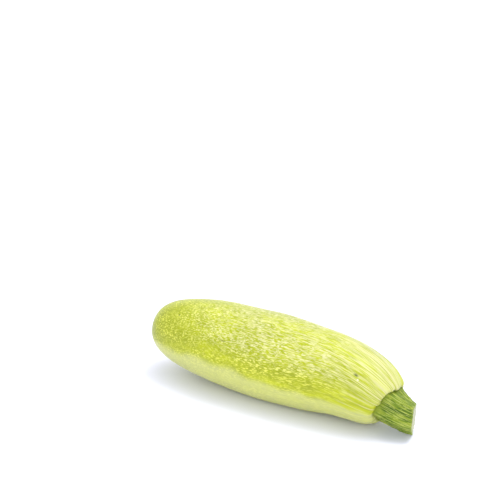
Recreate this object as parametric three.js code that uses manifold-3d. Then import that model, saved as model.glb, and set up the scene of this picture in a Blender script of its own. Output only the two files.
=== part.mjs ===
// A whole pale-green courgette, as picked, lying on its belly.
// Millimetres, +Z up. +X runs from the blossom end to the stem; the stem end droops and
// swings a little to -Y. The origin is at the middle of the footprint, on the table.

import * as THREE from 'three';
import { mergeVertices } from 'three/addons/utils/BufferGeometryUtils.js';
import Module from 'manifold-3d';

const wasm = await Module();
wasm.setup();

// ---- Driving dimensions ----

// fruit: a blunt nose at the blossom end, a rounded shoulder at the stem end
const fruitLength = 155;
const bellyRadius = 25;
const noseLength = 95;
const noseFullness = 2.9;
const shoulderLength = 77;
const shoulderEase = 1.35;
const shoulderFullness = 3.45;
const seatRadius = 9.5;

// the way the fruit lies: a straight body with a slight lean, then a stem end that droops
// and swings to -Y until it has this fall and swing at the seat
const bodyLean = THREE.MathUtils.degToRad(1.2);
const seatFall = THREE.MathUtils.degToRad(20);
const seatSwing = THREE.MathUtils.degToRad(10.5);

// ribs that rise towards the stem, and the scar that the flower leaves
const ribCount = 10;
const ribDepth = 0.5;
const scarRadius = 4.5;
const scarDepth = 0.7;

// flat pressed into the belly by lying on the table
const restDepth = 0.5;

// stem: five-sided, tapering, bending back to +Y and cut off slightly askew
const stemLength = 17;
const stemBaseRadius = 11.6;
const stemTipRadius = 8.9;
const stemCornerRadius = 2.4;
const stemCornerAngle = THREE.MathUtils.degToRad(46);
const stemTurn = THREE.MathUtils.degToRad(24);
const stemDrop = THREE.MathUtils.degToRad(26);
const cutTurn = THREE.MathUtils.degToRad(17);
const cutDrop = THREE.MathUtils.degToRad(2);

// clearance between the stem's base and its seat on the fruit
const stemGap = 0.3;

// height of the stem's lowest corner above the table
const stemClearance = 0.6;

// fineness of the meshes
const profileSteps = 44;
const roundSteps = 60;
const stemSteps = 8;
const cornerSteps = 4;

const up = new THREE.Vector3(0, 0, 1);

// ---- The line that each piece grows along ----

// direction with its heading turned towards +Y and dropped below level
function heading(turn, drop) {
  return new THREE.Vector3(
    Math.cos(drop) * Math.cos(turn),
    Math.cos(drop) * Math.sin(turn),
    -Math.sin(drop),
  );
}

// origin and axes of a section: along the growth, to the +Y side, and upwards
function sectionFrame(origin, along) {
  const tangent = along.clone().normalize();
  const side = new THREE.Vector3().crossVectors(up, tangent).normalize();
  const rise = new THREE.Vector3().crossVectors(tangent, side);
  return { origin, tangent, side, rise };
}

const leanSlope = Math.tan(bodyLean);
const fallSlope = Math.tan(seatFall);
const swingSlope = Math.tan(seatSwing);
const seatHeading = new THREE.Vector3(1, -swingSlope, -fallSlope).normalize();
const stemHeading = heading(stemTurn, stemDrop);

// the stem leaves its seat squarely, and has swung to its own heading where it is cut;
// the middle of the seat is its origin
function stemFrame(distance) {
  const bent = distance / stemLength;
  const origin = new THREE.Vector3()
    .addScaledVector(seatHeading, stemGap + distance * (1 - bent / 2))
    .addScaledVector(stemHeading, (distance * bent) / 2);
  const along = seatHeading.clone().lerp(stemHeading, bent);
  return sectionFrame(origin, along);
}

// the middle of the fruit's straight body is its origin; the bend has the length and droop
// that bring the seat to its height at its fall
function fruitFrame(distance, droop) {
  const fromMiddle = distance - fruitLength / 2;
  const bendLength = (2 * droop) / (fallSlope - leanSlope);
  const bent = Math.max(0, distance - (fruitLength - bendLength)) / bendLength;
  const swing = (swingSlope * bendLength) / 2;
  const origin = new THREE.Vector3(
    fromMiddle,
    -swing * bent ** 2,
    -droop * bent ** 2 - leanSlope * fromMiddle,
  );
  const along = new THREE.Vector3(
    1,
    -swingSlope * bent,
    -(fallSlope - leanSlope) * bent - leanSlope,
  );
  return sectionFrame(origin, along);
}

// ---- Sections ----

function fruitRadius(distance) {
  const nose = Math.max(0, 1 - distance / noseLength);
  const noseShare = (1 - nose ** noseFullness) ** (1 / noseFullness);
  const shoulder = Math.max(0, 1 - (fruitLength - distance) / shoulderLength);
  const shoulderShare = (1 - shoulder ** shoulderEase) ** (1 / shoulderFullness);
  return noseShare * (seatRadius + (bellyRadius - seatRadius) * shoulderShare);
}

// stations along the fruit, closer together at its ends
function stations() {
  const found = [];
  for (let step = 0; step <= profileSteps; step += 1) {
    found.push((fruitLength * (1 - Math.cos((Math.PI * step) / profileSteps))) / 2);
  }
  return found;
}

// how far below the middle of the body the table lies
function tableDepth() {
  const reach = stations().map((distance) => (
    fruitRadius(distance) + leanSlope * (distance - fruitLength / 2)
  ));
  return Math.max(...reach) - restDepth;
}

// furrows between the ribs fade out towards the blossom end
function furrow(angle, distance) {
  const grown = THREE.MathUtils.smoothstep(distance, noseLength, fruitLength);
  const wave = (1 - Math.cos(ribCount * (angle - stemCornerAngle))) / 2;
  return ribDepth * grown * wave;
}

// dimple of the flower scar, measured along the fruit
function scarDip(radius) {
  return scarDepth * Math.exp(-((radius / scarRadius) ** 2));
}

// five corners joined by flat sides
function stemSection() {
  const reach = stemBaseRadius - stemCornerRadius;
  const half = Math.PI / 5;
  const section = new THREE.Shape();
  for (let corner = 0; corner < 5; corner += 1) {
    const angle = stemCornerAngle + 2 * half * corner;
    const x = reach * Math.cos(angle);
    const y = reach * Math.sin(angle);
    section.absarc(x, y, stemCornerRadius, angle - half, angle + half, false);
  }
  return section;
}

// ---- Solids ----

// closed mesh with shared vertices and no collapsed triangles, as a manifold solid
function solidOf(geometry) {
  geometry.deleteAttribute('normal');
  geometry.deleteAttribute('uv');
  const merged = mergeVertices(geometry, 1e-4);
  const index = merged.index.array;
  const triangles = [];
  for (let i = 0; i < index.length; i += 3) {
    const [a, b, c] = [index[i], index[i + 1], index[i + 2]];
    if (a !== b && b !== c && c !== a) {
      triangles.push(a, b, c);
    }
  }
  return new wasm.Manifold(new wasm.Mesh({
    numProp: 3,
    vertProperties: new Float32Array(merged.attributes.position.array),
    triVerts: new Uint32Array(triangles),
  }));
}

function geometryOf(solid) {
  const mesh = solid.getMesh();
  const geometry = new THREE.BufferGeometry();
  geometry.setAttribute('position', new THREE.BufferAttribute(mesh.vertProperties, 3));
  geometry.setIndex(new THREE.BufferAttribute(mesh.triVerts, 1));
  return geometry;
}

// moves every vertex to the place that the given function works out for it
function reshape(geometry, place) {
  const position = geometry.attributes.position;
  const point = new THREE.Vector3();
  for (let i = 0; i < position.count; i += 1) {
    point.fromBufferAttribute(position, i);
    position.setXYZ(i, ...place(point).toArray());
  }
  return geometry;
}

// block that fills everything on the far side of a plane
function blockBeyond(point, normal, size) {
  const block = new THREE.BoxGeometry(size, size, size);
  block.translate(0, 0, size / 2);
  block.applyQuaternion(new THREE.Quaternion().setFromUnitVectors(up, normal));
  block.translate(point.x, point.y, point.z);
  return solidOf(block);
}

function makeFruit(droop) {
  const profile = stations().map((distance) => {
    const radius = fruitRadius(distance);
    return new THREE.Vector2(radius, distance + scarDip(radius));
  });
  profile.push(new THREE.Vector2(0, fruitLength));
  const geometry = new THREE.LatheGeometry(profile, roundSteps);
  reshape(geometry, (point) => {
    const distance = point.y;
    const radius = Math.hypot(point.x, point.z);
    const angle = Math.atan2(point.x, point.z);
    const rim = Math.min(1, radius / seatRadius);
    const trimmed = radius - furrow(angle, distance) * rim;
    const frame = fruitFrame(distance, droop);
    return frame.origin.clone()
      .addScaledVector(frame.side, trimmed * Math.cos(angle))
      .addScaledVector(frame.rise, trimmed * Math.sin(angle));
  });
  const flat = new THREE.Vector3(0, 0, -tableDepth());
  const down = new THREE.Vector3(0, 0, -1);
  const table = blockBeyond(flat, down, 2 * fruitLength);
  return geometryOf(solidOf(geometry).subtract(table));
}

function makeStem() {
  const overrun = stemBaseRadius;
  const geometry = new THREE.ExtrudeGeometry(stemSection(), {
    depth: stemLength + overrun,
    steps: stemSteps,
    curveSegments: cornerSteps,
    bevelEnabled: false,
  });
  reshape(geometry, (point) => {
    const frame = stemFrame(point.z);
    const taper = ((stemBaseRadius - stemTipRadius) * point.z) / stemLength;
    const width = (stemBaseRadius - taper) / stemBaseRadius;
    return frame.origin.clone()
      .addScaledVector(frame.side, point.x * width)
      .addScaledVector(frame.rise, point.y * width);
  });
  const end = stemFrame(stemLength).origin;
  const waste = blockBeyond(end, heading(cutTurn, cutDrop), 4 * stemBaseRadius);
  return geometryOf(solidOf(geometry).subtract(waste));
}

// ---- The courgette ----

function piece(name, geometry, colour, roughness) {
  const material = new THREE.MeshStandardMaterial({ color: colour, roughness, metalness: 0 });
  const mesh = new THREE.Mesh(geometry, material);
  mesh.name = name;
  return mesh;
}

// the fruit droops until the stem's lowest corner clears the table
const stemGeometry = makeStem();
stemGeometry.computeBoundingBox();
const seatHeight = stemClearance - stemGeometry.boundingBox.min.z;
const droop = tableDepth() - seatHeight - (leanSlope * fruitLength) / 2;

const courgette = new THREE.Group();
const fruit = piece('fruit', makeFruit(droop), 0xcdd55c, 0.4);
const stem = piece('stem', stemGeometry, 0x8ea648, 0.6);
stem.position.copy(fruitFrame(fruitLength, droop).origin);
courgette.add(fruit, stem);

// stand the flat of the belly on the table, centred over the origin
const box = new THREE.Box3().setFromObject(courgette);
const middle = box.getCenter(new THREE.Vector3());
courgette.position.set(-middle.x, -middle.y, tableDepth());
courgette.updateMatrixWorld(true);

export default courgette;
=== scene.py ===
"""A whole pale-green courgette, lying on its belly.

The skin is waxy and flecked, with a ribbed shoulder. The stem is five-sided and cut.
Formulas are in millimetres, in the CAD's frame; vertices are written in metres.
"""
import math

import bmesh
import bpy
import numpy as np
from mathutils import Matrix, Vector


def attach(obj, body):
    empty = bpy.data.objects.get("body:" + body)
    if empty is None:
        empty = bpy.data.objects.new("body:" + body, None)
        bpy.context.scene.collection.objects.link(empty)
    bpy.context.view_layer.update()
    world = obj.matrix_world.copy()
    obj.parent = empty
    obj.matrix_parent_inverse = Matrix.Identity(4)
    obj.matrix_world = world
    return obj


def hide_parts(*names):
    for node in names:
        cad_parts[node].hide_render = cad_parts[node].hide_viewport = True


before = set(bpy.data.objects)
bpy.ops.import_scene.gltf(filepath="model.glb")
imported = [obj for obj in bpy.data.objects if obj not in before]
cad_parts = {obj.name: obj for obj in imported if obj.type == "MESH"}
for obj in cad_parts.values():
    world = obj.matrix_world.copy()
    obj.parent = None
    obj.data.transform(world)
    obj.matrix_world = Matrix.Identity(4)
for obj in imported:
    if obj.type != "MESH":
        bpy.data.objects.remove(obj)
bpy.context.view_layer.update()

MM = 0.001
TAU = 2 * math.pi

# ---- Driving sizes, as in the CAD (mm and degrees) ----

FRUIT_LENGTH = 155.0
BELLY_RADIUS = 25.0
NOSE_LENGTH = 95.0
NOSE_FULLNESS = 2.9
SHOULDER_LENGTH = 77.0
SHOULDER_EASE = 1.35
SHOULDER_FULLNESS = 3.45
SEAT_RADIUS = 9.5
LEAN_SLOPE = math.tan(math.radians(1.2))
FALL_SLOPE = math.tan(math.radians(20))
SWING_SLOPE = math.tan(math.radians(10.5))
RIB_COUNT = 10
RIB_DEPTH = 0.5
REST_DEPTH = 0.5
STEM_LENGTH = 17.0
STEM_BASE_RADIUS = 11.6
STEM_TIP_RADIUS = 8.9
STEM_CORNER_RADIUS = 2.4
STEM_CORNER_ANGLE = math.radians(46)
STEM_TURN = math.radians(24)
STEM_DROP = math.radians(26)
CUT_TURN = math.radians(17)
CUT_DROP = math.radians(2)
STEM_GAP = 0.3

# ---- What growing adds to the fruit (mm; turns are from the +Y side towards up) ----

SKIN_STEP = 0.66  # spacing of the skin's rings along the body
SKIN_FINE_STEP = 0.34  # and round the stem and the flower scar
SKIN_FINE_REACH = 9.0
SKIN_SEGMENTS = 244
OUTLINE_POINTS = 6000  # of the outline that the rings are spaced along
LID_POINTS = 60
END_REACH = 12.0  # what belongs to one end of the fruit lies within this of it

LUMP_SIZE = 22.0
LUMP_HEIGHT = 0.3
DIMPLE_SIZE = 8.0
DIMPLE_HEIGHT = 0.07
SAG_DEPTH = 1.2  # how far the belly sags, low down on its -Y side
SAG_TURN = math.radians(243)
SAG_SPREAD = math.radians(36)
SAG_MIDDLE = 100.0
SAG_REACH = 44.0
REST_SOFTNESS = 0.12  # rounding of the edge of the flat that it rests on

PLEAT_SIZE = 3.2  # fine pleats that gather into the stem
PLEAT_HEIGHT = 0.22
PLEATS_BEGIN = 118.0
PLEATS_FULL = 152.0
PLEAT_STRETCH = 0.1

GROOVE_DEPTH = 0.12  # round the foot of the stem
GROOVE_OUT = 0.5
GROOVE_WIDTH = 0.75
COLLAR_HEIGHT = 0.3  # soft swelling outside the groove, highest by the corners of the stem
COLLAR_BETWEEN = 0.4  # share of that height between the corners
COLLAR_OUT = 2.3
COLLAR_WIDTH = 1.6
LIP_HEIGHT = 2.3  # where the shoulder rises against the top side of the stem
LIP_OUT = 1.6
LIP_WIDTH = 2.6
LIP_FOOT = (-1.2, 0.4)  # where it starts from nothing and is full, outside the groove
LIP_TURN = math.radians(98)
LIP_SPREAD = math.radians(50)

SCAR_RADIUS = 4.6  # left by the flower, at the blossom end
SCAR_DEPTH = 0.7
SCAR_FADE = (0.5, -0.4)  # where the cork starts and is full, outside that radius
SCAR_RIM_OUT = 0.3
SCAR_RIM_HEIGHT = 0.22
SCAR_RIM_WIDTH = 0.8
SCAR_CRACK_SIZE = 1.6
SCAR_CRACK_HEIGHT = 0.07
STYLE_HEIGHT = 0.8
STYLE_RADIUS = 0.9

# the two clearest marks: mm from the blossom end, degrees from the +Y side towards up
SCRATCH_PLACE = (60, 150)
PIT_PLACE = (140, 135)
SPECK_COUNT = 12
SPECK_DEPTH = 0.09

# the skin's pattern is drawn out along the fruit: the pace at which it grows by the blossom
# end, and the share of its pace that it loses over each of two stretches
GROWTH_PACE = 0.68
BODY_STRETCH = (0.48, 40, 125)
SHOULDER_STRETCH = (0.75, 118, 168)
SHOULDER_TINT = (118, 172)  # where the streaks of the shoulder begin and are full
# the next constants paint light on the skin rather than grow it: a highlight on the upper side, a
# reflection of the white floor on the underside, and shade at the blossom end
HIGHLIGHT_ALONG = (20, 95)  # where the painted highlight on the upper side begins and is full
HIGHLIGHT_ROUND = (0.05, 0.75)  # the same round the fruit, as a share of its radius
PALE_FROM = math.sin(math.radians(12))  # how far below its middle the painted reflection of the white floor begins
PALE_EDGE = 0.11
PALE_WAVES = ((0.08, 34, 13), (0.04, 9, 15))  # of that edge: height, size in mm, seed
PALE_RISE = 0.06  # of that edge over this stretch, towards the stem
PALE_RISE_STRETCH = (95, 145)
NOSE_SHADE_REACH = 45.0  # how far the painted shade at the blossom end reaches

# ---- What growing adds to the stem (mm) ----

STEM_SINK = 1.3  # how far its base is grown into the fruit
STEM_SEGMENTS = 320
STEM_RINGS = 60
LID_FROM = 1 - 0.5 / STEM_RINGS  # as a share of its height
LID_RINGS = (0.985, 0.95, 0.9, 0.84, 0.77, 0.7, 0.62, 0.54, 0.46, 0.37, 0.28, 0.19, 0.1, 0.04)
FOOT_RINGS = (0.7, 0.35, 0.05)
HALF_SIDE = math.pi / 5  # from a corner of the even stem to the middle of its side

# its five corners, in degrees from the +Y side towards up, and the hollow of the side after
# each; the top side is the widest
STEM_CORNERS = (33, 122, 190, 262, 328)
SIDE_HOLLOWS = (0.9, 0.15, 0.2, 0.2, 0.1)
FLARE = 0.4  # at its foot
FLARE_REACH = 1.7

# fibres run along it, in coarse strands with furrows between them
FIBRE_STRETCH = 0.16
FIBRE_SIZE = 0.55
FIBRE_HEIGHT = 0.11
STRAND_SIZE = 2.2
STRAND_HEIGHT = 0.1
WART_SIZE = 1.5
WART_HEIGHT = 0.22
WART_RARITY = 1.1
EDGE_SIZE = 3.0
EDGE_HEIGHT = 0.12
FURROW_COUNT = 46
FURROW_DEPTH = 0.22
FURROW_SWAY_LENGTH = 4.5
FURROW_FADE = 3.0

# lighter and darker runs along it, partly painted light and shade on its sides and partly its own
# tone: degrees from the +Y side towards up, width, change
STEM_TONES_AND_SHADING = (
    (108, 16, 0.16), (148, 11, -0.3), (176, 7, 0.25),
    (20, 15, 0.15), (75, 12, -0.15), (225, 16, -0.2),
    (262, 12, 0.15), (300, 20, -0.2), (335, 12, 0.15),
)

# the cut end has dried: its pith sank and its rim stayed
LOWEST_CUT = 2.0
CUT_HALVINGS = 24  # of the search for the place where each line of the side meets the cut
CUT_WAVE_RADIUS = 9.0
CUT_WAVE_SIZE = 1.3
CUT_WAVE_HEIGHT = 0.1
PITH_SINK = 0.5
PITH_SLOPE = (0.95, 0.3)  # where it starts to sink and is full, as shares of the radius
RIM_HEIGHT = 0.12
RIM_AT = 0.93
RIM_WIDTH = 0.06
PITH_GRAIN_SIZE = 0.9
PITH_GRAIN_HEIGHT = 0.07
BASE_TINT = 2.2  # how far the yellower green of its foot reaches
END_TINT = 1.2  # and the drier green by the cut


def smoothstep(value, low, high):
    share = np.clip((value - low) / (high - low), 0, 1)
    return share * share * (3 - 2 * share)


def bell(value, width):
    return np.exp(-((value / width) ** 2))


def turn_past(angle, middle):
    """How far an angle is turned past another one, from minus to plus half a turn."""
    return (angle - middle + math.pi) % TAU - math.pi


def round_place(radius, angle, height):
    """Points this far out and turned this much round a straight axis, at a height along it."""
    return np.stack([radius * np.cos(angle), radius * np.sin(angle), height], 1)


def swell(points, size, seed, waves=26):
    """Smooth seeded noise of about -1 to 1, with hollows and rises of the given size."""
    random = np.random.default_rng(seed)
    total = np.zeros(len(points))
    for _ in range(waves):
        direction = random.normal(size=3)
        direction /= np.linalg.norm(direction)
        pace = TAU / (size * random.uniform(1.2, 3.0))
        total += np.cos(points @ direction * pace + random.uniform(0, TAU))
    return total / math.sqrt(waves)


# ---- The line that each piece grows along ----


def unit(vectors):
    return vectors / np.linalg.norm(vectors, axis=-1, keepdims=True)


def heading(turn, drop):
    return np.array([
        math.cos(drop) * math.cos(turn),
        math.cos(drop) * math.sin(turn),
        -math.sin(drop),
    ])


def section_axes(along):
    """Tangent, +Y side and upward axis of sections that face along these directions."""
    tangent = unit(along)
    side = unit(np.stack([-tangent[:, 1], tangent[:, 0], np.zeros(len(tangent))], 1))
    return tangent, side, np.cross(tangent, side)


SEAT_HEADING = unit(np.array([1.0, -SWING_SLOPE, -FALL_SLOPE]))
STEM_HEADING = heading(STEM_TURN, STEM_DROP)
CUT_NORMAL = heading(CUT_TURN, CUT_DROP)


def fruit_radius(distance):
    nose = np.maximum(0, 1 - distance / NOSE_LENGTH)
    nose_share = (1 - nose**NOSE_FULLNESS) ** (1 / NOSE_FULLNESS)
    shoulder = np.clip(1 - (FRUIT_LENGTH - distance) / SHOULDER_LENGTH, 0, 1)
    shoulder_share = (1 - shoulder**SHOULDER_EASE) ** (1 / SHOULDER_FULLNESS)
    return nose_share * (SEAT_RADIUS + (BELLY_RADIUS - SEAT_RADIUS) * shoulder_share)


# the seat is the middle of the CAD stem's base, less the clearance under it
BASE_THICKNESS = 0.05
STATION_COUNT = 2000
stem_points = np.array([v.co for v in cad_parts["stem"].data.vertices]) / MM
stem_points = np.unique(stem_points.round(3), axis=0)
stem_reach = stem_points @ SEAT_HEADING
stem_base = stem_points[stem_reach < stem_reach.min() + BASE_THICKNESS]
SEAT = stem_base.mean(0) - STEM_GAP * SEAT_HEADING

every_station = np.linspace(0, FRUIT_LENGTH, STATION_COUNT)
TABLE_DEPTH = float(
    (fruit_radius(every_station) + LEAN_SLOPE * (every_station - FRUIT_LENGTH / 2)).max()
    - REST_DEPTH
)
DROOP = TABLE_DEPTH - SEAT[2] - LEAN_SLOPE * FRUIT_LENGTH / 2
BEND_LENGTH = 2 * DROOP / (FALL_SLOPE - LEAN_SLOPE)
SWING = SWING_SLOPE * BEND_LENGTH / 2
BODY_MIDDLE = SEAT - np.array(
    [FRUIT_LENGTH / 2, -SWING, -DROOP - LEAN_SLOPE * FRUIT_LENGTH / 2]
)


def fruit_place(distance, radius, angle):
    """Where points of the fruit lie, this far along, out from and turned round its spine."""
    from_middle = distance - FRUIT_LENGTH / 2
    bent = np.maximum(0, distance - (FRUIT_LENGTH - BEND_LENGTH)) / BEND_LENGTH
    origin = np.stack([
        from_middle,
        -SWING * bent**2,
        -DROOP * bent**2 - LEAN_SLOPE * from_middle,
    ], 1)
    along = np.stack([
        np.ones(len(bent)),
        -SWING_SLOPE * bent,
        -(FALL_SLOPE - LEAN_SLOPE) * bent - LEAN_SLOPE,
    ], 1)
    _, side, rise = section_axes(along)
    out = side * np.cos(angle)[:, None] + rise * np.sin(angle)[:, None]
    return BODY_MIDDLE + origin + out * radius[:, None]


def corner_turn(angle):
    """The angle that a point would have if the stem's corners were evenly spread."""
    grown = np.radians((*STEM_CORNERS, STEM_CORNERS[0] + 360))
    even = STEM_CORNER_ANGLE + np.arange(6) * TAU / 5
    turn = (angle - grown[0]) % TAU + grown[0]
    return np.interp(turn, grown, even)


def from_corner(even_angle):
    """Turn from the nearest corner of the evenly spread stem."""
    past = (even_angle - STEM_CORNER_ANGLE + HALF_SIDE) % (2 * HALF_SIDE)
    return np.abs(past - HALF_SIDE)


def pentagon_radius(angle):
    """Distance out to the stem's five-cornered section at its base."""
    angle = corner_turn(angle)
    side = ((angle - STEM_CORNER_ANGLE) / (TAU / 5)) % 5
    hollow = np.array(SIDE_HOLLOWS)[np.minimum(side.astype(int), 4)]
    hollow = hollow * np.sin(math.pi * (side % 1)) ** 2
    reach = STEM_BASE_RADIUS - STEM_CORNER_RADIUS
    off = from_corner(angle)
    flat = (reach * math.cos(HALF_SIDE) + STEM_CORNER_RADIUS) / np.cos(HALF_SIDE - off)
    across = np.maximum(0, STEM_CORNER_RADIUS**2 - (reach * np.sin(off)) ** 2)
    corner = reach * np.cos(off) + np.sqrt(across)
    turn = math.atan2(
        STEM_CORNER_RADIUS * math.sin(HALF_SIDE),
        reach + STEM_CORNER_RADIUS * math.cos(HALF_SIDE),
    )
    return np.where(off < turn, corner, flat) - hollow


# ---- Meshes ----


def mesh_of(bm, name):
    mesh = bpy.data.meshes.new(name)
    bm.to_mesh(mesh)
    bm.free()
    return mesh


def read_places(mesh):
    places = np.zeros(len(mesh.vertices) * 3, np.float32)
    mesh.vertices.foreach_get("co", places)
    return places.reshape(-1, 3).astype(float)


def write_places(mesh, places):
    mesh.vertices.foreach_set("co", (places * MM).astype(np.float32).ravel())
    mesh.update()


def add_value(mesh, name, values):
    kind = "FLOAT" if values.ndim == 1 else "FLOAT_VECTOR"
    key = "value" if values.ndim == 1 else "vector"
    attribute = mesh.attributes.new(name, kind, "POINT")
    attribute.data.foreach_set(key, values.astype(np.float32).ravel())


def take_value(mesh, name):
    """Reads a value of the vertices, and removes it from the mesh."""
    values = np.zeros(len(mesh.vertices), np.float32)
    mesh.attributes[name].data.foreach_get("value", values)
    mesh.attributes.remove(mesh.attributes[name])
    return values.astype(float)


def add_piece(name, mesh, nodes, slot, *materials):
    mesh.shade_smooth()
    for material in materials:
        mesh.materials.append(material)
    piece = bpy.data.objects.new(name, mesh)
    bpy.context.scene.collection.objects.link(piece)
    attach(piece, "root")
    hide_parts(*nodes)


# ---- The fruit ----


def skin_profile():
    """Half outline of the fruit, in even steps that are finer near its ends.

    Gives the distance along the fruit, the radius, and the length grown from the blossom end.
    """
    turns = np.linspace(0, math.pi, OUTLINE_POINTS)
    distance = FRUIT_LENGTH * (1 - np.cos(turns)) / 2
    radius = fruit_radius(distance)
    lid = np.linspace(SEAT_RADIUS, 0, LID_POINTS)[1:]
    distance = np.append(distance, np.full(len(lid), FRUIT_LENGTH))
    radius = np.append(radius, lid)
    length = np.append(0, np.cumsum(np.hypot(np.diff(distance), np.diff(radius))))
    seat = length[len(turns) - 1] + 2.0
    fine = np.maximum(bell(length, SKIN_FINE_REACH), bell(length - seat, SKIN_FINE_REACH))
    step = SKIN_STEP + (SKIN_FINE_STEP - SKIN_STEP) * fine
    count = np.append(0, np.cumsum(np.diff(length) / step[1:]))
    even = np.linspace(0, count[-1], int(count[-1]) + 1)
    return [np.interp(even, count, value) for value in (distance, radius, length)]


def spin_skin():
    """The outline spun round its axis: a mesh, and what each vertex keeps of the outline."""
    distance, radius, length = skin_profile()
    along, out = np.gradient(distance), np.gradient(radius)
    steep = np.hypot(along, out)
    kept = {
        "distance": distance, "radius": radius, "length": length,
        "outward": along / steep, "endward": -out / steep,
    }
    bm = bmesh.new()
    layers = {name: bm.verts.layers.float.new(name) for name in kept}
    outline = []
    for i in range(len(distance)):
        vertex = bm.verts.new((radius[i], 0, distance[i]))
        for name, values in kept.items():
            vertex[layers[name]] = values[i]
        outline.append(vertex)
    for before, after in zip(outline, outline[1:]):
        bm.edges.new((before, after))
    bmesh.ops.spin(
        bm, geom=bm.verts[:] + bm.edges[:], cent=(0, 0, 0), axis=(0, 0, 1), dvec=(0, 0, 0),
        angle=TAU, steps=SKIN_SEGMENTS, use_merge=True, use_duplicate=False,
    )
    bmesh.ops.remove_doubles(bm, verts=bm.verts[:], dist=1e-4)
    bmesh.ops.recalc_face_normals(bm, faces=bm.faces[:])
    mesh = mesh_of(bm, "fruit_skin")
    return mesh, {name: take_value(mesh, name) for name in kept}


def body_relief(distance, radius, angle, length):
    """Ribs, lumps and dimples, the sag of the belly, and the pleats round the stem."""
    spot = round_place(radius, angle, distance)
    grown = smoothstep(distance, NOSE_LENGTH, FRUIT_LENGTH)
    rim = np.minimum(1, radius / SEAT_RADIUS)
    ribs = (1 - np.cos(RIB_COUNT * (angle - STEM_CORNER_ANGLE))) / 2
    sag = bell(turn_past(angle, SAG_TURN), SAG_SPREAD) * bell(distance - SAG_MIDDLE, SAG_REACH)
    gathered = smoothstep(distance, PLEATS_BEGIN, PLEATS_FULL) * rim
    pleats = swell(round_place(BELLY_RADIUS, angle, length * PLEAT_STRETCH), PLEAT_SIZE, seed=7)
    return (
        -RIB_DEPTH * grown * ribs * rim
        + LUMP_HEIGHT * swell(spot, LUMP_SIZE, seed=3) * (1 - 0.5 * grown)
        + DIMPLE_HEIGHT * swell(spot, DIMPLE_SIZE, seed=5)
        + SAG_DEPTH * sag
        + PLEAT_HEIGHT * gathered * pleats
    )


def joint_relief(distance, radius, angle):
    """A groove along the stem's five sides with a collar and a lip outside it, and its shade."""
    at_seat = distance > FRUIT_LENGTH - END_REACH
    outside = radius - pentagon_radius(angle) - GROOVE_OUT
    groove = np.where(at_seat, bell(outside, GROOVE_WIDTH), 0)
    collar = np.where(at_seat, bell(outside - COLLAR_OUT, COLLAR_WIDTH), 0)
    corner = (1 + np.cos(5 * (corner_turn(angle) - STEM_CORNER_ANGLE))) / 2
    lip = np.where(at_seat, bell(outside - LIP_OUT, LIP_WIDTH), 0)
    lip = lip * smoothstep(outside, *LIP_FOOT) * bell(turn_past(angle, LIP_TURN), LIP_SPREAD)
    relief = COLLAR_HEIGHT * collar * (COLLAR_BETWEEN + corner) + LIP_HEIGHT * lip
    relief -= GROOVE_DEPTH * groove
    return relief, np.where(at_seat & (outside < 0), 1.0, groove)


def scar_relief(distance, radius, angle):
    """Corky scar that the flower leaves, with the stub of its style in the middle."""
    at_nose = distance < END_REACH
    scar = np.where(at_nose, smoothstep(radius - SCAR_RADIUS, *SCAR_FADE), 0)
    rim = bell(radius - SCAR_RADIUS - SCAR_RIM_OUT, SCAR_RIM_WIDTH)
    cracks = swell(round_place(radius, angle, 0 * distance), SCAR_CRACK_SIZE, seed=11)
    rise = (
        SCAR_RIM_HEIGHT * rim
        + STYLE_HEIGHT * bell(radius, STYLE_RADIUS)
        - SCAR_DEPTH * bell(radius, SCAR_RADIUS)
    )
    return np.where(at_nose, rise, 0) + SCAR_CRACK_HEIGHT * scar * cracks, scar


def skin_marks():
    """Marks as (place, turn, half length, half width, depth, darkness)."""
    pit_at, pit_turn = PIT_PLACE
    marks = [
        (*SCRATCH_PLACE, 2.5, 0.45, 0.12, 0.75),
        (pit_at, pit_turn, 1.5, 0.8, 0.4, 0.85),
        # a small raised bump beside the pit with a painted glint, a painted highlight, so its depth
        # and darkness are below 0
        (pit_at + 2, pit_turn + 5, 0.7, 0.6, -0.12, -0.95),
    ]
    random = np.random.default_rng(37)
    for _ in range(SPECK_COUNT):
        place = random.uniform(20, 145)
        turn = random.uniform(0, 360)
        size = random.uniform(0.4, 0.75)
        marks.append((place, turn, size, size, SPECK_DEPTH, random.uniform(0.5, 0.9)))
    return marks


def mark_relief(distance, radius, angle):
    """How far the small marks stand out, and how dark they are; the painted glint by the pit has a
    darkness below 0.
    """
    relief = np.zeros(len(angle))
    dark = np.zeros(len(angle))
    for place, turn, half_length, half_width, depth, shade in skin_marks():
        off = turn_past(angle, math.radians(turn))
        marks_and_glint = bell(distance - place, half_length) * bell(radius * off, half_width)
        relief -= depth * marks_and_glint
        dark += shade * marks_and_glint
    return relief, dark


def grown_places(distance, radius, angle, length):
    """Coordinates of the growing skin, for its patterns.

    Flecks keep their number round the fruit as it narrows to the stem, and are drawn out
    along it.
    """
    order = np.argsort(length)
    pace = np.full(len(length), GROWTH_PACE)
    for share, begins, ends in (BODY_STRETCH, SHOULDER_STRETCH):
        pace *= 1 - share * smoothstep(length[order], begins, ends)
    grown_length = np.zeros(len(length))
    grown_length[order] = np.append(0, np.cumsum(np.diff(length[order]) * pace[1:]))
    widest = np.where(distance < NOSE_LENGTH, radius, BELLY_RADIUS)
    return round_place(widest, angle, grown_length)


def floor_reflection_side(distance, radius, angle):
    """The underside painted pale, with a wavering edge: a painted reflection of the white floor."""
    spot = round_place(radius, angle, distance)
    waver = PALE_RISE * smoothstep(distance, *PALE_RISE_STRETCH)
    for height, size, seed in PALE_WAVES:
        waver += height * swell(spot, size, seed)
    return smoothstep(-np.sin(angle) + waver, PALE_FROM - PALE_EDGE, PALE_FROM + PALE_EDGE)


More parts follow.
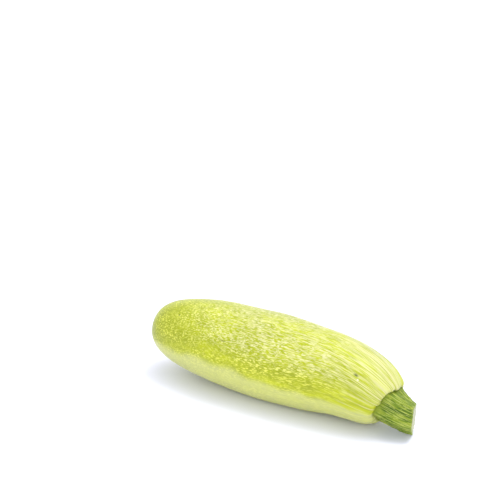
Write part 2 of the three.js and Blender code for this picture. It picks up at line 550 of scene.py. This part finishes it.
def make_skin(material):
    mesh, kept = spin_skin()
    x, y, _ = read_places(mesh).T
    angle = np.arctan2(y, x)
    distance, radius, length = kept["distance"], kept["radius"], kept["length"]

    joint_rise, joint = joint_relief(distance, radius, angle)
    scar_rise, scar = scar_relief(distance, radius, angle)
    mark_rise, marks_and_glint = mark_relief(distance, radius, angle)
    relief = body_relief(distance, radius, angle, length) + joint_rise + scar_rise + mark_rise
    places = fruit_place(
        distance + relief * kept["endward"],
        np.maximum(0, radius + relief * kept["outward"]),
        angle,
    )
    # the belly is pressed flat where it rests
    height = places[:, 2]
    softened = (height + np.sqrt(height**2 + REST_SOFTNESS**2)) / 2 - REST_SOFTNESS / 2
    places[:, 2] = np.maximum(softened, 0)
    write_places(mesh, places)

    # the upper side is painted lighter as a highlight, away from the blossom end
    upward = smoothstep(np.sin(angle), *HIGHLIGHT_ROUND)
    add_value(mesh, "grown", grown_places(distance, radius, angle, length) * MM)
    add_value(mesh, "shoulder", smoothstep(length, *SHOULDER_TINT))
    add_value(mesh, "painted_highlight", upward * smoothstep(length, *HIGHLIGHT_ALONG))
    # the underside is painted pale as a reflection of the white floor
    add_value(mesh, "pale", floor_reflection_side(distance, radius, angle))
    add_value(mesh, "joint", joint)
    add_value(mesh, "scar", scar)
    add_value(mesh, "marks_and_glint", marks_and_glint)
    add_piece("fruit_skin", mesh, ["fruit"], "skin", material)


# ---- The stem ----


def stem_line(distance):
    """Middle, tangent, side and rise of the stem's section at a distance from its seat."""
    bent = distance / STEM_LENGTH
    origin = (
        SEAT
        + SEAT_HEADING * (STEM_GAP + distance * (1 - bent / 2))[:, None]
        + STEM_HEADING * (distance * bent / 2)[:, None]
    )
    along = SEAT_HEADING * (1 - bent)[:, None] + STEM_HEADING * bent[:, None]
    return (origin, *section_axes(along))


CUT_MIDDLE = stem_line(np.array([STEM_LENGTH]))[0][0]
FOOT_MIDDLE = SEAT + SEAT_HEADING * (STEM_GAP - STEM_SINK)


def stem_furrows(angle, distance):
    """How deep each point lies in the furrows between the stem's fibres, from 0 to 1."""
    random = np.random.default_rng(21)
    depth = np.zeros(len(angle))
    for _ in range(FURROW_COUNT):
        middle = random.uniform(0, TAU)
        width = random.uniform(0.02, 0.05)
        sway = random.uniform(0.01, 0.06)
        phase = random.uniform(0, TAU)
        strength = random.uniform(0.3, 1.0)
        begins = random.uniform(-8, 9)
        ends = begins + random.uniform(7, 20)
        line = middle + sway * np.sin(distance / FURROW_SWAY_LENGTH + phase)
        life = smoothstep(distance, begins, begins + FURROW_FADE)
        life = life * smoothstep(-distance, -ends, FURROW_FADE - ends)
        depth = np.maximum(depth, strength * life * bell(turn_past(angle, line), width))
    return depth


def stem_surface(angle, distance):
    """Places on the stem's side (mm), with how light its rind is there, painted light and shade
    included.
    """
    corner = 1 - smoothstep(from_corner(corner_turn(angle)) / HALF_SIDE, 0.0, 0.62)
    furrows = stem_furrows(angle, distance)
    spot = round_place(STEM_BASE_RADIUS, angle, distance * FIBRE_STRETCH)
    fibres = swell(spot, FIBRE_SIZE, seed=23, waves=40)
    strands = swell(spot, STRAND_SIZE, seed=25, waves=30)
    warts = swell(spot * [1, 1, 4], WART_SIZE, seed=27, waves=40)
    edge = swell(np.stack([distance] * 3, 1), EDGE_SIZE, seed=29)

    taper = 1 - (STEM_BASE_RADIUS - STEM_TIP_RADIUS) * distance / STEM_LENGTH / STEM_BASE_RADIUS
    flare = np.exp(-np.maximum(distance, 0) / FLARE_REACH) * (0.55 + 0.45 * corner)
    radius = (
        pentagon_radius(angle) * taper
        + FLARE * flare
        + STRAND_HEIGHT * strands
        + FIBRE_HEIGHT * fibres
        + WART_HEIGHT * np.maximum(0, warts - WART_RARITY)
        + EDGE_HEIGHT * corner * edge
        - FURROW_DEPTH * furrows
    )
    origin, _, side, rise = stem_line(distance)
    out = side * np.cos(angle)[:, None] + rise * np.sin(angle)[:, None]

    # how light the rind is, including the runs of painted light and shade listed above
    tone_and_shading = 0.5 + 0.15 * strands + 0.36 * fibres - 0.6 * furrows + 0.12 * corner
    for turn, width, change in STEM_TONES_AND_SHADING:
        tone_and_shading += change * bell(turn_past(angle, math.radians(turn)), math.radians(width))
    return origin + out * radius[:, None], tone_and_shading


def cut_distance(angle):
    """Distance along the stem at which each line of its side meets the cut."""
    low = np.full(len(angle), LOWEST_CUT)
    high = np.full(len(angle), STEM_LENGTH + STEM_BASE_RADIUS)
    for _ in range(CUT_HALVINGS):
        middle = (low + high) / 2
        beyond = (stem_surface(angle, middle)[0] - CUT_MIDDLE) @ CUT_NORMAL > 0
        high = np.where(beyond, middle, high)
        low = np.where(beyond, low, middle)
    return low


def add_rings(bm, ring, moves):
    """Extrudes a loop of edges again and again, each time scaling and raising it."""
    width = 1.0
    for scale, rise in moves:
        made = bmesh.ops.extrude_edge_only(bm, edges=ring)["geom"]
        verts = [g for g in made if isinstance(g, bmesh.types.BMVert)]
        ring = [g for g in made if isinstance(g, bmesh.types.BMEdge)]
        ratio = scale / width
        bmesh.ops.scale(bm, vec=(ratio, ratio, 1), verts=verts)
        bmesh.ops.translate(bm, vec=(0, 0, rise), verts=verts)
        width = scale
    # the last ring closes to a point on the axis
    bmesh.ops.scale(bm, vec=(0, 0, 1), verts=verts)


def stem_tube():
    """A tube of radius and height 1, with both ends closed in rings and its top lid in pith."""
    bm = bmesh.new()
    bmesh.ops.create_circle(bm, cap_ends=False, radius=1, segments=STEM_SEGMENTS)
    foot = bm.edges[:]
    wall = [(1.0, 1.0 / STEM_RINGS)] * STEM_RINGS
    add_rings(bm, foot, wall + [(width, 0) for width in LID_RINGS])
    add_rings(bm, foot, [(width, 0) for width in FOOT_RINGS])
    bmesh.ops.remove_doubles(bm, verts=bm.verts[:], dist=1e-5)
    bmesh.ops.recalc_face_normals(bm, faces=bm.faces[:])
    for face in bm.faces:
        if all(vertex.co.z > LID_FROM for vertex in face.verts):
            face.material_index = 1
    return mesh_of(bm, "stem")


def make_stem(rind, pith):
    mesh = stem_tube()
    x, y, height = read_places(mesh).T
    angle = np.arctan2(y, x)
    share = np.hypot(x, y)
    waves = swell(round_place(CUT_WAVE_RADIUS, angle, 0 * angle), CUT_WAVE_SIZE, seed=31)
    reach = cut_distance(angle) + CUT_WAVE_HEIGHT * waves
    distance = -STEM_SINK + height * (reach + STEM_SINK)
    side, tone_and_shading = stem_surface(angle, distance)

    # the two ends close in straight towards their middles
    middle = np.where(height[:, None] > 0.5, CUT_MIDDLE, FOOT_MIDDLE)
    places = middle + (side - middle) * share[:, None]
    lid = (height > LID_FROM) & (share < 0.999)
    dish = RIM_HEIGHT * bell(share - RIM_AT, RIM_WIDTH)
    dish -= PITH_SINK * smoothstep(share, *PITH_SLOPE)
    grain = PITH_GRAIN_HEIGHT * swell(places, PITH_GRAIN_SIZE, seed=33, waves=40)
    places += CUT_NORMAL * np.where(lid, dish + grain, 0)[:, None]
    write_places(mesh, places)

    add_value(mesh, "grown", round_place(STEM_BASE_RADIUS, angle, distance) * MM)
    add_value(mesh, "tone_and_shading", tone_and_shading)
    add_value(mesh, "base", bell(np.maximum(0, distance), BASE_TINT))
    add_value(mesh, "end", smoothstep(distance - reach, -END_TINT, 0))
    add_value(mesh, "across", round_place(share, angle, share))
    add_piece("stem", mesh, ["stem"], "stem", rind, pith)


# ---- Materials ----

SMOOTH = {"interpolation_type": "SMOOTHSTEP"}
TIMES = {"operation": "MULTIPLY"}
COLOURS = {"data_type": "RGBA"}
COLOUR_RESULT = 2  # the colour output of a Mix node


def linear(hex_colour):
    """An sRGB hex colour as linear RGBA."""
    levels = [int(hex_colour[i:i + 2], 16) / 255 for i in (1, 3, 5)]
    lit = [v / 12.92 if v <= 0.04045 else ((v + 0.055) / 1.055) ** 2.4 for v in levels]
    return (*lit, 1.0)


def per_mm(size):
    """Texture scale whose features are this many mm across."""
    return 1 / (size * MM)


def fill(tree, node, inputs):
    """Links or sets a node's inputs, which are given in their order or by name."""
    pairs = inputs.items() if isinstance(inputs, dict) else enumerate(inputs)
    for key, value in pairs:
        if isinstance(value, bpy.types.NodeSocket):
            tree.links.new(value, node.inputs[key])
        else:
            node.inputs[key].default_value = value


def add_node(tree, kind, inputs=(), output=0, **settings):
    """Adds a node with its settings and links, and gives one of its outputs."""
    node = tree.nodes.new(f"ShaderNode{kind}")
    for name, value in settings.items():
        setattr(node, name, value)
    fill(tree, node, inputs)
    return node.outputs[output]


def new_material(name):
    material = bpy.data.materials.new(name)
    material.use_nodes = True
    return material, material.node_tree, material.node_tree.nodes["Principled BSDF"]


def waxy_skin():
    """Living courgette skin, grown and washed.

    It is yellow-green under a thin wax, with pale breathing flecks.
    """
    material, tree, shader = new_material("courgette_skin_grown_waxy")
    grown = add_node(tree, "Attribute", output="Vector", attribute_name="grown")
    shoulder, painted_highlight, pale, joint, scar, marks_and_glint = [
        add_node(tree, "Attribute", output="Fac", attribute_name=name)
        for name in ("shoulder", "painted_highlight", "pale", "joint", "scar", "marks_and_glint")
    ]

    # noise, drawn out along the fruit by a factor: its size in mm, detail and roughness
    pattern = {}
    for name, drawn_out, size, detail, roughness in (
        ("patches", 0.8, 17, 2, 0.5),
        ("shade", 1, 2.6, 3, 0.5),
        ("bands", 0.6, 9, 3, 0.5),
        ("highlight_hairs", 0.25, 0.55, 1.5, 0.5),
        ("streaks", 0.3, 1.15, 3, 0.65),
        ("cork", 1, 0.8, 4, 0.65),
        ("pores", 1, 0.9, 2, 0.5),
    ):
        place = add_node(tree, "VectorMath", (grown, (1, 1, drawn_out)), **TIMES)
        pattern[name] = add_node(tree, "TexNoise", {
            "Vector": place, "Scale": per_mm(size), "Detail": detail, "Roughness": roughness,
        }, "Fac")

    # broad patches of deeper and yellower green, with painted shade darkening the blossom end
    patches = add_node(tree, "MapRange", (pattern["patches"], 0.36, 0.64), **SMOOTH)
    shade = add_node(tree, "MapRange", (pattern["shade"], 0.38, 0.66, 0, 0.55), **SMOOTH)
    along = add_node(tree, "SeparateXYZ", (grown,), "Z")
    nose = add_node(tree, "MapRange", (along, NOSE_SHADE_REACH * MM, 0, 0, 0.8), **SMOOTH)

    # pale flecks: a fine grain of them everywhere, and larger round ones in loose bands
    wander = add_node(tree, "TexNoise", {
        "Vector": grown, "Scale": per_mm(4), "Detail": 1,
    }, "Color")
    warped = add_node(
        tree, "VectorMath", (wander, (0.4 * MM,) * 3, grown), operation="MULTIPLY_ADD"
    )
    drawn_out = add_node(tree, "VectorMath", (warped, (1, 1, 0.5)), **TIMES)
    grain = add_node(tree, "TexNoise", {
        "Vector": drawn_out, "Scale": per_mm(0.5), "Detail": 1,
    }, "Fac")
    grain = add_node(tree, "MapRange", (grain, 0.52, 0.62), **SMOOTH)
    from_middle = add_node(tree, "TexVoronoi", {
        "Vector": warped, "Scale": per_mm(0.92),
    }, "Distance")
    # the colour of a dot's cell is random, and so is its size
    chance = add_node(tree, "SeparateColor", (from_middle.node.outputs["Color"],), "Red")
    reach = add_node(tree, "MapRange", (chance, 0.1, 1, 0, 0.52), **SMOOTH)
    inside = add_node(tree, "Math", (reach, from_middle), operation="SUBTRACT")
    dots = add_node(tree, "MapRange", (inside, -0.07, 0.07), **SMOOTH)
    bands = add_node(tree, "MapRange", (pattern["bands"], 0.36, 0.6, 0.45, 1), **SMOOTH)
    grain_bands = add_node(tree, "MapRange", (bands, 0.3, 1, 0.4, 0.75), **SMOOTH)
    grain = add_node(tree, "Math", (grain, grain_bands), **TIMES)
    dots = add_node(tree, "Math", (dots, bands), **TIMES)
    flecks = add_node(tree, "Math", (grain, dots), operation="MAXIMUM")
    # fewer towards the stem and the blossom end, and fewer in the painted highlight on the upper
    # side
    for where, full, least, most in (
        (shoulder, 1, 1, 0.45), (nose, 0.8, 0.88, 0.6), (painted_highlight, 1, 1.1, 0.8),
    ):
        share = add_node(tree, "MapRange", (where, 0, full, least, most), **SMOOTH)
        flecks = add_node(tree, "Math", (flecks, share), **TIMES)

    # fine pale lines run along the fruit, strongest on its upper side: a painted highlight
    highlight_hairs = add_node(tree, "MapRange", (pattern["highlight_hairs"], 0.49, 0.6), **SMOOTH)
    share = add_node(tree, "MapRange", (painted_highlight, 0, 1, 0.02, 0.6), **SMOOTH)
    highlight_hairs = add_node(tree, "Math", (highlight_hairs, share), **TIMES)

    # cream streaks gather towards the stem, between saturated ones, and are stronger on the upper
    # side as painted highlight
    streaks = add_node(tree, "MapRange", (pattern["streaks"], 0.5, 0.6), **SMOOTH)
    streaks = add_node(tree, "Math", (streaks, shoulder), **TIMES)
    near = add_node(tree, "MapRange", (shoulder, 0.3, 0.8, 0, 0.6), **SMOOTH)
    above = add_node(tree, "MapRange", (painted_highlight, 0, 1, 0.22, 0.85), **SMOOTH)
    share = add_node(tree, "Math", (near, above), operation="MAXIMUM")
    streaks = add_node(tree, "Math", (streaks, share), **TIMES)

    # the joint with the stem is darker, the flower scar corky, and small marks olive; the underside
    # is painted pale as a reflection of the white floor, and a painted glint is pale beside the pit
    pale = add_node(tree, "Math", (pale, 0.6), **TIMES)
    joint = add_node(tree, "Math", (joint, 0.75), **TIMES)
    cork = add_node(tree, "MapRange", (pattern["cork"], 0.38, 0.62), **SMOOTH)
    olive = add_node(tree, "MapRange", (marks_and_glint, 0.1, 0.9), **SMOOTH)
    pit_glint = add_node(tree, "MapRange", (marks_and_glint, -0.2, -0.8), **SMOOTH)
    # the flecks are creamier on the upper side as painted highlight, and the scar's cork varies in
    # tone
    fleck_and_highlight_tint, cork_tint = [
        add_node(tree, "Mix", {0: share, 6: linear(low), 7: linear(high)}, COLOUR_RESULT, **COLOURS)
        for share, low, high in ((painted_highlight, "#DFE054", "#E6E3B2"), (cork, "#94834F", "#BDAF78"))
    ]

    colour = linear("#A4AD04")
    for share, tint in (
        (patches, linear("#BAC206")),
        (shade, linear("#8E9803")),
        (nose, linear("#8C9602")),
        (flecks, fleck_and_highlight_tint),
        (highlight_hairs, linear("#E0DC9C")),
        (streaks, linear("#D6D298")),
        (pale, linear("#D0D28C")),
        (joint, linear("#7F8C1C")),
        (scar, cork_tint),
        (olive, linear("#5A6420")),
        (pit_glint, linear("#E4E4C8")),
    ):
        colour = add_node(tree, "Mix", {0: share, 6: colour, 7: tint}, COLOUR_RESULT, **COLOURS)
    relief = add_node(tree, "Math", (flecks, 0.6, pattern["pores"]), operation="MULTIPLY_ADD")
    normal = add_node(tree, "Bump", {"Strength": 0.5, "Distance": 0.14 * MM, "Height": relief})
    fill(tree, shader, {
        "Base Color": colour,
        "Normal": normal,
        "Roughness": 0.4,
        "IOR": 1.38,
        "Coat Weight": 0.12,
        "Coat Roughness": 0.32,
        "Sheen Weight": 0.05,
        "Sheen Roughness": 0.35,
        "Subsurface Weight": 0.18,
        "Subsurface Radius": (1.0, 0.9, 0.25),
        "Subsurface Scale": 2.2 * MM,
    })
    return material


def stem_rind():
    """Ribbed stem rind, grown and matt: fibrous green with pale ridges and dark furrows."""
    material, tree, shader = new_material("stem_rind_grown_fibrous")
    grown = add_node(tree, "Attribute", output="Vector", attribute_name="grown")
    tone_and_shading, base, end = [
        add_node(tree, "Attribute", output="Fac", attribute_name=name)
        for name in ("tone_and_shading", "base", "end")
    ]

    # noise, drawn out along the stem by a factor: its size in mm, detail and roughness
    pattern = {}
    for name, drawn_out, size, detail, roughness in (
        ("fibres", 0.1, 0.6, 3, 0.7),
        ("stripes", 0.1, 1.4, 2, 0.5),
        ("lines", 0.09, 0.5, 1, 0.5),
    ):
        place = add_node(tree, "VectorMath", (grown, (1, 1, drawn_out)), **TIMES)
        pattern[name] = add_node(tree, "TexNoise", {
            "Vector": place, "Scale": per_mm(size), "Detail": detail, "Roughness": roughness,
        }, "Fac")
    place = add_node(tree, "VectorMath", (grown, (1, 1, 0.45)), **TIMES)
    blotch = add_node(tree, "TexVoronoi", {"Vector": place, "Scale": per_mm(1.3)}, "Distance")

    # how light it is, painted light and shade included, decides the green; pale lines and blotches
    # lie over that
    light = add_node(tree, "Math", (pattern["fibres"], 1.5, tone_and_shading), operation="MULTIPLY_ADD")
    light = add_node(tree, "Math", (pattern["stripes"], 1.3, light), operation="MULTIPLY_ADD")
    colour = linear("#476306")
    for value, low, high, most, tint in (
        (light, 1.35, 1.95, 1, "#6A8314"),
        (light, 1.85, 2.4, 1, "#8B9A2A"),
        (tone_and_shading, 0.2, -0.25, 0.4, "#4E6812"),
        (pattern["lines"], 0.54, 0.61, 0.75, "#B3BC5C"),
        (blotch, 0.3, 0.14, 0.55, "#B5BF50"),
    ):
        share = add_node(tree, "MapRange", (value, low, high, 0, most), **SMOOTH)
        tint = linear(tint)
        colour = add_node(tree, "Mix", {0: share, 6: colour, 7: tint}, COLOUR_RESULT, **COLOURS)
    # it is yellower at its foot and drier at the cut
    for value, most, tint in ((base, 0.6, "#85941F"), (end, 0.35, "#8F9C48")):
        share = add_node(tree, "Math", (value, most), **TIMES)
        tint = linear(tint)
        colour = add_node(tree, "Mix", {0: share, 6: colour, 7: tint}, COLOUR_RESULT, **COLOURS)
    normal = add_node(tree, "Bump", {
        "Strength": 0.6, "Distance": 0.15 * MM, "Height": pattern["fibres"],
    })
    fill(tree, shader, {
        "Base Color": colour,
        "Normal": normal,
        "Roughness": 0.55,
        "IOR": 1.36,
        "Subsurface Weight": 0.1,
        "Subsurface Radius": (0.8, 1.0, 0.3),
        "Subsurface Scale": 1.5 * MM,
    })
    return material


def stem_pith():
    """Knife-cut stem end, drying: pale green-white pith with a ring of vessels, greener outside."""
    material, tree, shader = new_material("stem_pith_cut_drying")
    across = add_node(tree, "Attribute", output="Vector", attribute_name="across")
    share = add_node(tree, "SeparateXYZ", (across,), "Z")
    # the coordinates are shares of the radius, about 9 mm: grains of 1.3 mm, vessels 2 mm apart
    grain = add_node(tree, "TexNoise", {"Vector": across, "Scale": 7.0, "Detail": 5}, "Fac")
    vessels = add_node(tree, "TexVoronoi", {
        "Vector": across, "Scale": 4.6, "Randomness": 0.55,
    }, "Distance")
    dots = add_node(tree, "MapRange", (vessels, 0.36, 0.2), **SMOOTH)
    for low, high in ((0.5, 0.62), (0.86, 0.76)):
        ring = add_node(tree, "MapRange", (share, low, high), **SMOOTH)
        dots = add_node(tree, "Math", (dots, ring), **TIMES)
    pale = add_node(tree, "MapRange", (grain, 0.35, 0.65), **SMOOTH)
    rim = add_node(tree, "MapRange", (share, 0.8, 0.97), **SMOOTH)
    colour = linear("#B2B48C")
    for part, tint in ((pale, "#CDCCB0"), (dots, "#8C9860"), (rim, "#8FA04A")):
        tint = linear(tint)
        colour = add_node(tree, "Mix", {0: part, 6: colour, 7: tint}, COLOUR_RESULT, **COLOURS)
    normal = add_node(tree, "Bump", {"Strength": 0.5, "Distance": 0.2 * MM, "Height": grain})
    fill(tree, shader, {"Base Color": colour, "Normal": normal, "Roughness": 0.7})
    return material


make_skin(waxy_skin())
make_stem(stem_rind(), stem_pith())

# ---- Floor, light and camera (metres) ----

FLOOR_HALF = 6.0
VIEW_AZIMUTH = math.radians(30.38)
VIEW_ELEVATION = math.radians(25)
VIEW_DISTANCE = 0.7
VIEW_HEIGHT = 0.025
LOOK_LEFT = math.radians(1.544)
LOOK_UP = math.radians(4.976)
LENS = 88.28  # mm, as is the sensor
SENSOR = 36.0
LAMP_DISTANCE = 2.0
DIM_AZIMUTH = math.radians(-45)


def white_paper():
    """Uncoated white paper, matt."""
    material, tree, shader = new_material("floor_white_paper")
    fill(tree, shader, {"Base Color": linear("#F0F0FF"), "Roughness": 0.8})
    return material


def add_floor():
    bm = bmesh.new()
    bmesh.ops.create_grid(bm, x_segments=1, y_segments=1, size=FLOOR_HALF)
    floor = bpy.data.objects.new("floor", mesh_of(bm, "floor"))
    floor.data.materials.append(white_paper())
    bpy.context.scene.collection.objects.link(floor)


def around(azimuth, elevation, distance):
    """A point at this azimuth and elevation from the middle of the fruit."""
    flat = math.cos(elevation) * distance
    return Vector((
        math.sin(azimuth) * flat,
        -math.cos(azimuth) * flat,
        VIEW_HEIGHT + math.sin(elevation) * distance,
    ))


def set_up(thing, place, forward):
    """Adds a camera or lamp that stands at a place and looks forward."""
    thing.location = place
    thing.rotation_euler = forward.to_track_quat("-Z", "Y").to_euler()
    bpy.context.scene.collection.objects.link(thing)


def add_camera():
    camera = bpy.data.objects.new("camera", bpy.data.cameras.new("camera"))
    camera.data.lens = LENS
    camera.data.sensor_width = SENSOR
    camera.data.clip_end = 50
    stand = around(VIEW_AZIMUTH, VIEW_ELEVATION, VIEW_DISTANCE)
    to_view = (stand - Vector((0, 0, VIEW_HEIGHT))).normalized()
    right = Vector((math.cos(VIEW_AZIMUTH), math.sin(VIEW_AZIMUTH), 0))
    upright = to_view.cross(right)
    ahead = (
        -to_view * math.cos(LOOK_LEFT) * math.cos(LOOK_UP)
        - right * math.sin(LOOK_LEFT)
        + upright * math.sin(LOOK_UP)
    )
    set_up(camera, stand, ahead)
    bpy.context.scene.camera = camera


def add_lamp(name, azimuth, elevation, softness, strength):
    """Soft even light from a far-off panel that looks this many degrees across."""
    light = bpy.data.lights.new(name, "SUN")
    light.angle = math.radians(softness)
    light.energy = strength
    place = around(math.radians(azimuth), math.radians(elevation), LAMP_DISTANCE)
    set_up(bpy.data.objects.new(name, light), place, Vector((0, 0, VIEW_HEIGHT)) - place)


def add_room():
    """Pale room, slightly dimmer towards the side of the blossom end."""
    world = bpy.data.worlds.new("studio")
    bpy.context.scene.world = world
    world.use_nodes = True
    tree = world.node_tree
    facing = add_node(tree, "TexCoord", output="Generated")
    dim_side = (math.sin(DIM_AZIMUTH), -math.cos(DIM_AZIMUTH), 0.0)
    toward = add_node(tree, "VectorMath", (facing, dim_side), "Value", operation="DOT_PRODUCT")
    strength = add_node(tree, "MapRange", (toward, 0, 0.9, 1.12, 0.96), **SMOOTH)
    backdrop = tree.nodes["Background"]
    fill(tree, backdrop, {"Color": linear("#F8FAFF"), "Strength": strength})


add_floor()
add_camera()
add_lamp("panel_behind", azimuth=165, elevation=78, softness=50, strength=0.7)
add_lamp("panel_top", azimuth=140, elevation=74, softness=20, strength=0.7)
add_lamp("panel_front", azimuth=25, elevation=22, softness=50, strength=0.6)
add_room()
bpy.context.scene.view_settings.view_transform = "Standard"
